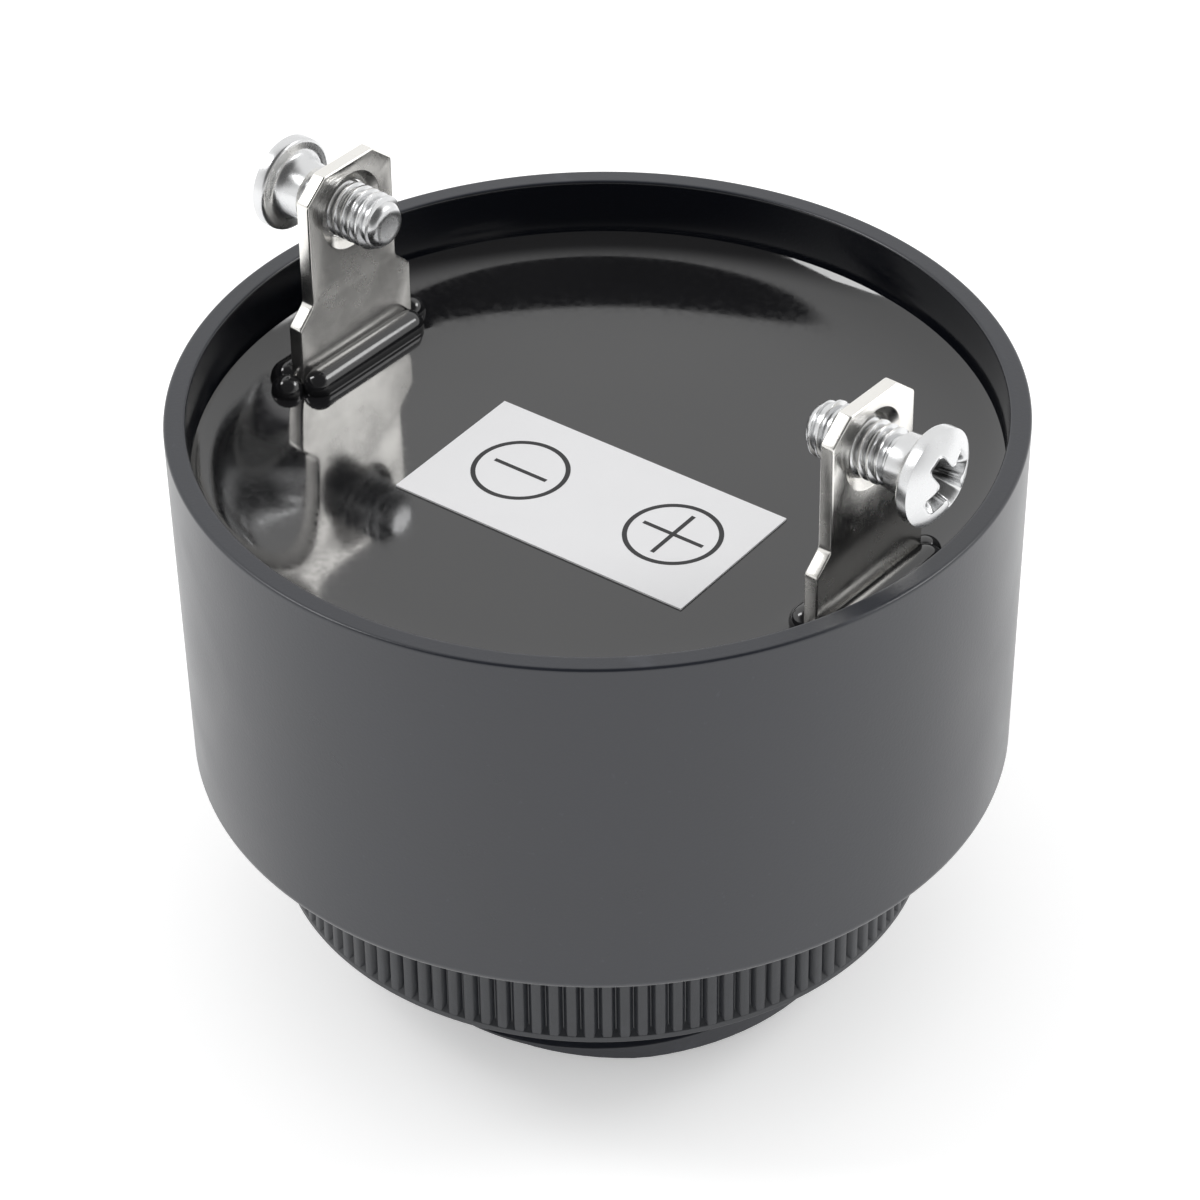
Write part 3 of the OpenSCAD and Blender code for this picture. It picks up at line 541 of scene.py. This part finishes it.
# The beads at a blade: distance of the axis outwards of its middle, half length, radius
BEADS = ((-0.75, 3.4, 0.9), (0.9, 3.9, 0.95))
# The drops at its two ends: distance outwards of its middle, distance from the middle of the blade, radius
DROP = (0.25, 4.7, 0.85)
DROP_Z = BEAD_AXIS_Z - 0.1
SKIRT_H = 0.1
SKIRT_W = 0.5
# The columns of the surface lie close together within this angle of a blade, and wider apart elsewhere
BEAD_SECTOR = 0.36
FINE_STEP = 0.006
COARSE_COLUMNS = 150


def wall_radius(z):
    """Inner radius of the drafted case wall at height z."""
    share = (z - SHOULDER_Z) / (RIM_Z - SHOULDER_Z)
    return SHOULDER_R + (RIM_OUTER_R - SHOULDER_R) * share - POT_CLEAR_R


def wall_climb():
    """Heights of the resin over its level, from the wall inwards, as surface tension shaped them."""
    heights = [WALL_CLIMB]
    while heights[-1] > FLAT_BELOW / 2:
        lean = math.acos(1 - heights[-1] ** 2 / (2 * CAPILLARY_LENGTH ** 2))
        heights.append(heights[-1] - CLIMB_STEP * math.tan(lean))
    return heights


climb_heights = wall_climb()
contact_r = wall_radius(POT_Z + WALL_CLIMB)


def resin_height(r, angle):
    """Height of the set resin, with its climb at the wall and a skirt round each bead."""
    steps = max(0.0, contact_r - r) / CLIMB_STEP
    k = min(int(steps), len(climb_heights) - 2)
    share = min(1.0, steps - k)
    climb = climb_heights[k] * (1 - share) + climb_heights[k + 1] * share
    skirt = 0.0
    for outwards, half, radius in BEADS:
        x = abs(r * math.cos(angle)) - TERMINAL_MID_X - outwards
        y = max(0.0, abs(r * math.sin(angle)) - half)
        off = max(0.0, math.hypot(x, y) - radius)
        skirt = max(skirt, SKIRT_H * math.exp(-off / SKIRT_W))
    return POT_Z + max(0.0, math.hypot(climb, skirt) - FLAT_BELOW)


def resin_row(bm, places):
    """A row of vertices from (radius, angle, height) places."""
    return [vertex(bm, r * math.cos(a), r * math.sin(a), z) for r, a, z in places]


resin = bmesh.new()
coarse_step = (math.pi - 2 * BEAD_SECTOR) / COARSE_COLUMNS
angles = [k * FINE_STEP - BEAD_SECTOR for k in range(round(2 * BEAD_SECTOR / FINE_STEP))]
angles += [BEAD_SECTOR + k * coarse_step for k in range(COARSE_COLUMNS)]
angles += [a + math.pi for a in angles]
resin_radii = [1.5 * k for k in range(1, 10)] + [14.2 + 0.07 * k for k in range(70)]
resin_radii += [19.15 + 0.1 * k for k in range(14)]
resin_rows = [[vertex(resin, 0, 0, POT_Z)]]
for r in resin_radii:
    if r < wall_radius(POT_Z) - 0.06:
        resin_rows.append(resin_row(resin, [(r, a, resin_height(r, a)) for a in angles]))
contact = [resin_height(contact_r, a) for a in angles]
for heights in (contact, [POT_Z + 0.1] * len(angles), [POT_BOTTOM_Z] * len(angles)):
    resin_rows.append(resin_row(resin, [(wall_radius(z), a, z) for a, z in zip(angles, heights)]))
resin_rows.append([vertex(resin, 0, 0, POT_BOTTOM_Z)])
skin(resin, resin_rows)

beads = []
for side in (-1, 1):
    for outwards, half, radius in BEADS:
        bow = [(radius * math.cos(k * math.pi / 24), radius * math.sin(k * math.pi / 24)) for k in range(13)]
        bead_outline = [(r, -half - z) for r, z in reversed(bow)] + [(r, half + z) for r, z in bow]
        bead = turned(bead_outline, BEAD_SEGMENTS, closed=False)
        there = Matrix.Translation((side * (TERMINAL_MID_X + outwards) * MM, 0, BEAD_AXIS_Z * MM))
        bmesh.ops.transform(bead, matrix=there @ Matrix.Rotation(math.pi / 2, 4, "X"), verts=bead.verts)
        beads.append(bead)
    for end in (-1, 1):
        outwards, along, radius = DROP
        drop = bmesh.new()
        bmesh.ops.create_uvsphere(drop, u_segments=BEAD_SEGMENTS, v_segments=24, radius=radius * MM)
        there = Vector((side * (TERMINAL_MID_X + outwards) * MM, end * along * MM, DROP_Z * MM))
        bmesh.ops.translate(drop, verts=drop.verts, vec=there)
        beads.append(drop)

# The resin mirrors nearly sharply, with slow swells, faint dust and duller beads
resin_black, resin_tree, resin_shader, resin_where = new_material("resin_black")
resin_shader.inputs["IOR"].default_value = 1.75
swell = noise(resin_tree, resin_where, 110.0, 1.0)
dust = noise(resin_tree, resin_where, 2600.0, 3.0)
resin_tone = mixed(resin_tree, swell, (0.007, 0.007, 0.008, 1), (0.013, 0.013, 0.014, 1))
resin_at = axes(resin_tree, resin_where)
high_up = ramp(resin_tree, resin_at["Z"], (BEAD_AXIS_Z - 0.3) * MM, (BEAD_AXIS_Z + 0.1) * MM)
beside_blade = ramp(resin_tree, maths(resin_tree, "ABSOLUTE", resin_at["Y"]), 4.2 * MM, 3.2 * MM, 0.0, 0.08)
resin_gloss = ramp(resin_tree, dust, 0.35, 0.7, 0.05, 0.1)
resin_gloss = maths(resin_tree, "MULTIPLY_ADD", high_up, beside_blade, resin_gloss)
finish(resin_tree, resin_shader, resin_tone, resin_gloss, swell, 0.03)
resin_mesh = made_mesh("potting_resin", resin, *beads, sharp_degrees=80)
placed("potting_resin", resin_mesh, resin_black, "resin", "potting")

# Label
# A slip of white coated paper stuck on the resin, a little turned, printed with a minus and a plus in rings.
# The slip keeps its solid. The printed marks are thin plates of ink on it, over their own terminals.
LABEL_TOP_Z = 28.6
INK_HEIGHTS = (LABEL_TOP_Z - 0.002, LABEL_TOP_Z + 0.012)
LABEL_TURN = math.radians(3.5)
MINUS_CENTRE = (-3.13, -2.34)
PLUS_CENTRE = (6.22, -1.72)
CIRCLE_RADII = (2.52, 2.27)
BAR_W = 0.23
MINUS_L = 3.2
PLUS_L = 3.57
# The upright of the plus: the length of each half, and the distance of its middle from the centre
HALF_L = 1.68
HALF_OFF = 0.945
cad_finish(coated("label_paper", (0.78, 0.78, 0.79), 0.5, 0.02, 0.06, 0.003), "label")
marks = bmesh.new()


def ink_plate(outer, inner=None):
    """A thin plate of ink inside a closed row of points, or between two such rows."""
    low, high = [[vertex(marks, x, y, z) for x, y in outer] for z in INK_HEIGHTS]
    if inner:
        inner_low, inner_high = [[vertex(marks, x, y, z) for x, y in inner] for z in INK_HEIGHTS]
        skin(marks, [low, high, inner_high, inner_low, low])
        return
    skin(marks, [low, high])
    marks.faces.new(low)
    marks.faces.new(high)


def ink_circle(centre, r, count=72):
    """Points of a circle."""
    turns = [2 * math.pi * k / count for k in range(count)]
    return [(centre[0] + r * math.cos(a), centre[1] + r * math.sin(a)) for a in turns]


def ink_bar(centre, length, width):
    """Corners of a bar that lies along the label."""
    c, s = math.cos(LABEL_TURN), math.sin(LABEL_TURN)
    corners = [(i * length / 2, j * width / 2) for i, j in ((-1, -1), (1, -1), (1, 1), (-1, 1))]
    return [(centre[0] + x * c - y * s, centre[1] + x * s + y * c) for x, y in corners]


for centre in (MINUS_CENTRE, PLUS_CENTRE):
    ink_plate(*[ink_circle(centre, r) for r in CIRCLE_RADII])
ink_plate(ink_bar(MINUS_CENTRE, MINUS_L, BAR_W))
ink_plate(ink_bar(PLUS_CENTRE, PLUS_L, BAR_W))
for off in (-HALF_OFF, HALF_OFF):
    half_centre = (PLUS_CENTRE[0] - off * math.sin(LABEL_TURN), PLUS_CENTRE[1] + off * math.cos(LABEL_TURN))
    ink_plate(ink_bar(half_centre, BAR_W, HALF_L))
ink = coated("label_ink", (0.02, 0.02, 0.022), 0.5, 0.3, 0.05, 0.002)
placed("label_marks", made_mesh("label_marks", marks), ink, None)

# Terminals
# Two blades stamped from 0.8 mm brass sheet and nickel plated, each tapped for its screw and countersunk.
# The stamping leaves soft edges. Their feet go through the board and are soldered under it.
TERMINAL_INNER_X = 16.197
TERMINAL_T = 0.8
BLADE_EDGE_R = 0.1
HOLE_SEGMENTS = 64


def inset(loop, distance):
    """A closed loop of 2D points moved inwards by a distance, for a loop that runs anticlockwise."""
    out = []
    for k, here in enumerate(loop):
        along = (loop[(k + 1) % len(loop)] - loop[k - 1]).normalized()
        out.append(here + Vector((-along.y, along.x)) * distance)
    return out


def stamped_blade():
    """One blade in the YZ plane with its inner face at x = 0, from rows of points that round its edges."""
    half = [(2.0, 23.0, 0.2), (2.0, 25.6, 0.05), (4.2, 25.6, 0.1), (4.2, 32.37, 0.35), (3.15, 33.35, 0.45),
            (3.15, 39.3, 0.25), (1.8, 40.45, 0.25)]
    outline = rounded_corners(half + [(-y, z, r) for y, z, r in reversed(half)])
    outline = with_support(outline, 0.12)
    leans = [k * math.pi / 8 for k in range(5)]
    steps = [(BLADE_EDGE_R * (1 - math.sin(a)), BLADE_EDGE_R * (1 - math.cos(a))) for a in leans]
    steps += [(d, TERMINAL_T - x) for d, x in reversed(steps)]
    blade = bmesh.new()
    edge_rows = [[vertex(blade, x, p.x, p.y) for p in inset(outline, d)] for d, x in steps]
    hole = [(2.16, 0.0), (2.11, 0.015), (2.07, 0.045), (1.59, 0.25), (1.55, 0.29), (1.55, 0.51),
            (1.59, 0.55), (2.07, 0.755), (2.11, 0.785), (2.16, 0.8)]
    turns = [2 * math.pi * k / HOLE_SEGMENTS for k in range(HOLE_SEGMENTS)]
    hole_rows = [[vertex(blade, x, r * math.cos(a), SCREW_Z + r * math.sin(a)) for a in turns]
                 for r, x in hole]
    skin(blade, edge_rows)
    skin(blade, hole_rows)
    for face in (0, -1):
        edges = [blade.edges.get((loop[k - 1], loop[k]))
                 for loop in (edge_rows[face], hole_rows[face]) for k in range(len(loop))]
        bmesh.ops.triangle_fill(blade, edges=edges, use_beauty=True)
    return blade


nickel = metal("nickel_plate", (0.88, 0.865, 0.83), 0.22, 0.0002, 0.1, (1, 1, 12), 0.05)
for turn, side in ((0, "positive"), (math.pi, "negative")):
    mesh = made_mesh("terminal_blade_" + side, stamped_blade())
    mesh.transform(Matrix.Rotation(turn, 4, "Z") @ Matrix.Translation((TERMINAL_INNER_X * MM, 0, 0)))
    placed("terminal_blade_" + side, mesh, nickel, "terminal_plate", "terminal_" + side)

# Terminal screws
# M3 pan-head machine screws of bright plated steel with a cross recess, backed off so that a wire goes under
# the head. The head is upset with a domed top, the recess is punched into it and the thread is rolled.
SCREW_TIP_X = 13.597
THREAD_CORE_R = 1.22
HEAD_R = 2.5
HEAD_SIDE_Z = 7.1
DOME_H = 0.85
HEAD_TOP_Z = HEAD_SIDE_Z + DOME_H
RECESS_TURN = math.radians(30)
RECESS_DEPTH = 1.75


def dome_height(r):
    """Height of the domed head over the screw's tip at distance r from its axis."""
    big = (HEAD_R ** 2 + DOME_H ** 2) / (2 * DOME_H)
    return HEAD_TOP_Z - big + math.sqrt(max(0.0, big * big - r * r))


def cross_outline(half_width, reach, end_round, root_round=0.3):
    """The cross of the recess as a closed loop that starts on its first arm."""
    corners = []
    for k in range(4):
        turn = Matrix.Rotation(k * math.pi / 2 + RECESS_TURN, 2)
        for x, y, radius in ((reach, -half_width, end_round), (reach, half_width, end_round),
                             (half_width, half_width, root_round)):
            p = turn @ Vector((x, y))
            corners.append((p.x, p.y, radius))
    loop = rounded_corners(corners)
    out = []
    for k, here in enumerate(loop):
        there = loop[(k + 1) % len(loop)]
        pieces = (3, 4, 4)[k // 5 % 3] if k % 5 == 4 else 1
        out += [here.lerp(there, i / pieces) for i in range(pieces)]
    return out


def machine_screw():
    """One screw along +Z with its tip at the origin: core of the thread, neck, head with recess."""
    screw = bmesh.new()
    mouth = cross_outline(0.56, 1.68, 0.26)
    shank = [(0.6, 0.0), (0.85, 0.02), (1.05, 0.12), (THREAD_CORE_R, 0.4), (THREAD_CORE_R, 0.45),
             (THREAD_CORE_R, 4.85), (1.5, 5.05), (1.52, 5.4), (1.6, 5.9), (1.7, 6.2), (1.82, 6.34),
             (2.0, 6.4), (HEAD_R - 0.25, 6.4), (HEAD_R - 0.12, 6.42), (HEAD_R - 0.03, 6.5),
             (HEAD_R, 6.6), (HEAD_R, HEAD_SIDE_Z - 0.05)]
    rows = [[vertex(screw, 0, 0, 0)]]
    for r, z in shank:
        rows.append([vertex(screw, p.x * r, p.y * r, z) for p in (q.normalized() for q in mouth)])
    # The top of the head, from its rim to the mouth of the recess
    for share in (1.0, 0.97, 0.85, 0.65, 0.45, 0.25, 0.1, 0.0):
        row = []
        for p in mouth:
            lip = p.length + 0.06
            q = p.normalized() * (lip + (HEAD_R - lip) * share)
            row.append(vertex(screw, q.x, q.y, dome_height(q.length)))
        rows.append(row)
    # The recess: half width and reach of its arms, depth, and how far its lip is rounded down
    for half_width, reach, depth, lip in ((0.56, 1.68, 0.0, 0.05), (0.53, 1.63, 0.12, 0.0),
                                          (0.47, 1.38, 0.55, 0.0), (0.4, 1.05, 1.15, 0.0),
                                          (0.33, 0.8, 1.45, 0.0)):
        row = []
        for p in cross_outline(half_width, reach, half_width * 0.46):
            z = min(dome_height(p.length) - lip - depth * 0.15, HEAD_TOP_Z - depth)
            row.append(vertex(screw, p.x, p.y, z))
        rows.append(row)
    rows.append([vertex(screw, 0, 0, HEAD_TOP_Z - RECESS_DEPTH)])
    skin(screw, rows)
    return screw


# Its painted shade darkens the thread grooves and the cross recess
zinc = metal("bright_plate", (0.74, 0.745, 0.75), 0.24, 0.001, 0.12, (1, 1, 1), 0.08, painted_shade=0.75)
stand = Matrix.Translation((SCREW_TIP_X * MM, 0, SCREW_Z * MM)) @ Matrix.Rotation(math.pi / 2, 4, "Y")
for turn, thread_turn, side in ((0, 0.9, "positive"), (math.pi, -0.9, "negative")):
    thread = grown(helix, {
        "Root Radius": (THREAD_CORE_R - 0.02) * MM, "Height": 0.3 * MM, "Base Width": 0.46 * MM,
        "Crest Width": 0.12 * MM, "Pitch": 0.5 * MM, "From": 0.28 * MM, "To": 4.95 * MM, "Lowest": 0.06 * MM,
        "Highest": 5.2 * MM, "First Turn": thread_turn, "Steps per Turn": 48, "Fade Turns": 0.8,
        "Edge Radius": 0.02 * MM, "Material": zinc
    })
    mesh = made_mesh("screw_" + side, machine_screw(), thread, sharp_degrees=50)
    mesh.transform(Matrix.Rotation(turn, 4, "Z") @ stand)
    placed("terminal_screw_" + side, mesh, zinc, "screw_plate", "screw_" + side)

# Stage: pale floor, even studio light and the camera of the photograph
# The photograph was taken in a white light tent on white paper, so glossy surfaces mirror white nearly all
# round and the paper keeps only a soft shadow. The tent is open over the camera, so that side mirrors dark.
FLOOR_HALF = 3.0
FLOOR_Z = -0.00005
WHITE = (1, 1, 1, 1)
GAP_DIRECTION = (0.371, -0.438, 0.819)
LAMP_AIM = Vector((0, 0, 0.02))
CAMERA_AIM = Vector((0, 0, 0.0205))
CAMERA_DISTANCE = 0.2323
CAMERA_AZIMUTH = math.radians(40.24)
CAMERA_ELEVATION = math.radians(37.46)
CAMERA_ROLL = math.radians(-0.78)


def white_for(tree):
    """1 for camera, glossy and transmission rays and 0 for the rays that only light the object."""
    ray = tree_node(tree, "ShaderNodeLightPath").outputs
    seen = maths(tree, "MAXIMUM", ray["Is Camera Ray"], ray["Is Glossy Ray"])
    return maths(tree, "MAXIMUM", seen, ray["Is Transmission Ray"])


floor_material = bpy.data.materials.new("floor_paper")
floor_material.use_nodes = True
floor_tree = floor_material.node_tree
floor_shader = floor_tree.nodes["Principled BSDF"]
floor_lift = maths(floor_tree, "MULTIPLY", white_for(floor_tree), 0.35)
for name, value in (("Base Color", (0.93, 0.93, 0.93, 1)), ("Roughness", 0.9), ("Specular IOR Level", 0.1),
                    ("Emission Color", WHITE), ("Emission Strength", floor_lift)):
    feed(floor_tree, value, floor_shader.inputs[name])
floor_corners = [(x * FLOOR_HALF, y * FLOOR_HALF, FLOOR_Z) for x, y in ((-1, -1), (1, -1), (1, 1), (-1, 1))]
floor_mesh = bpy.data.meshes.new("floor")
floor_mesh.from_pydata(floor_corners, [], [(0, 1, 2, 3)])
floor_mesh.materials.append(floor_material)
floor = bpy.data.objects.new("floor", floor_mesh)
bpy.context.scene.collection.objects.link(floor)

world = bpy.data.worlds.new("light_tent")
bpy.context.scene.world = world
world.use_nodes = True
sky = world.node_tree
lit = sky.nodes["Background"]
lit.inputs["Color"].default_value = WHITE
lit.inputs["Strength"].default_value = 0.78
towards = tree_node(sky, "ShaderNodeTexCoord").outputs["Generated"]
from_gap = tree_node(sky, "ShaderNodeVectorMath", operation="DOT_PRODUCT")
feed(sky, towards, from_gap.inputs[0])
feed(sky, GAP_DIRECTION, from_gap.inputs[1])
gap = ramp(sky, from_gap.outputs["Value"], 0.45, 0.8, 1.0, 0.1, "SMOOTHSTEP")
straight = tree_node(sky, "ShaderNodeLightPath").outputs["Is Camera Ray"]
mirrored = tree_node(sky, "ShaderNodeBackground", Color=WHITE, Strength=maths(sky, "MAXIMUM", gap, straight))
blend = tree_node(sky, "ShaderNodeMixShader", Fac=white_for(sky))
sky.links.new(lit.outputs[0], blend.inputs[1])
sky.links.new(mirrored.outputs[0], blend.inputs[2])
sky.links.new(blend.outputs[0], sky.nodes["World Output"].inputs["Surface"])


def softbox(name, location, size, power):
    """A rectangular soft light that looks at the middle of the object."""
    data = bpy.data.lights.new(name, "AREA")
    data.shape = "RECTANGLE"
    data.size, data.size_y = size
    data.energy = power
    lamp = bpy.data.objects.new(name, data)
    lamp.location = location
    lamp.rotation_euler = (LAMP_AIM - Vector(location)).to_track_quat("-Z", "Y").to_euler()
    bpy.context.scene.collection.objects.link(lamp)


softbox("key", (-0.33, -0.25, 0.5), (0.16, 0.24), 0.8)
softbox("side", (0.32, 0.34, 0.43), (0.24, 0.16), 0.7)

camera_data = bpy.data.cameras.new("camera")
camera_data.sensor_width = 36
camera_data.lens = 136
camera_data.clip_start = 0.005
camera_data.clip_end = 20
camera = bpy.data.objects.new("camera", camera_data)
bpy.context.scene.collection.objects.link(camera)
back = Vector((math.sin(CAMERA_AZIMUTH) * math.cos(CAMERA_ELEVATION),
               -math.cos(CAMERA_AZIMUTH) * math.cos(CAMERA_ELEVATION), math.sin(CAMERA_ELEVATION)))
camera.location = CAMERA_AIM + back * CAMERA_DISTANCE
camera.rotation_mode = "QUATERNION"
roll = Matrix.Rotation(CAMERA_ROLL, 4, "Z").to_quaternion()
camera.rotation_quaternion = (-back).to_track_quat("-Z", "Y") @ roll
bpy.context.scene.camera = camera
bpy.context.scene.view_settings.view_transform = "Standard"
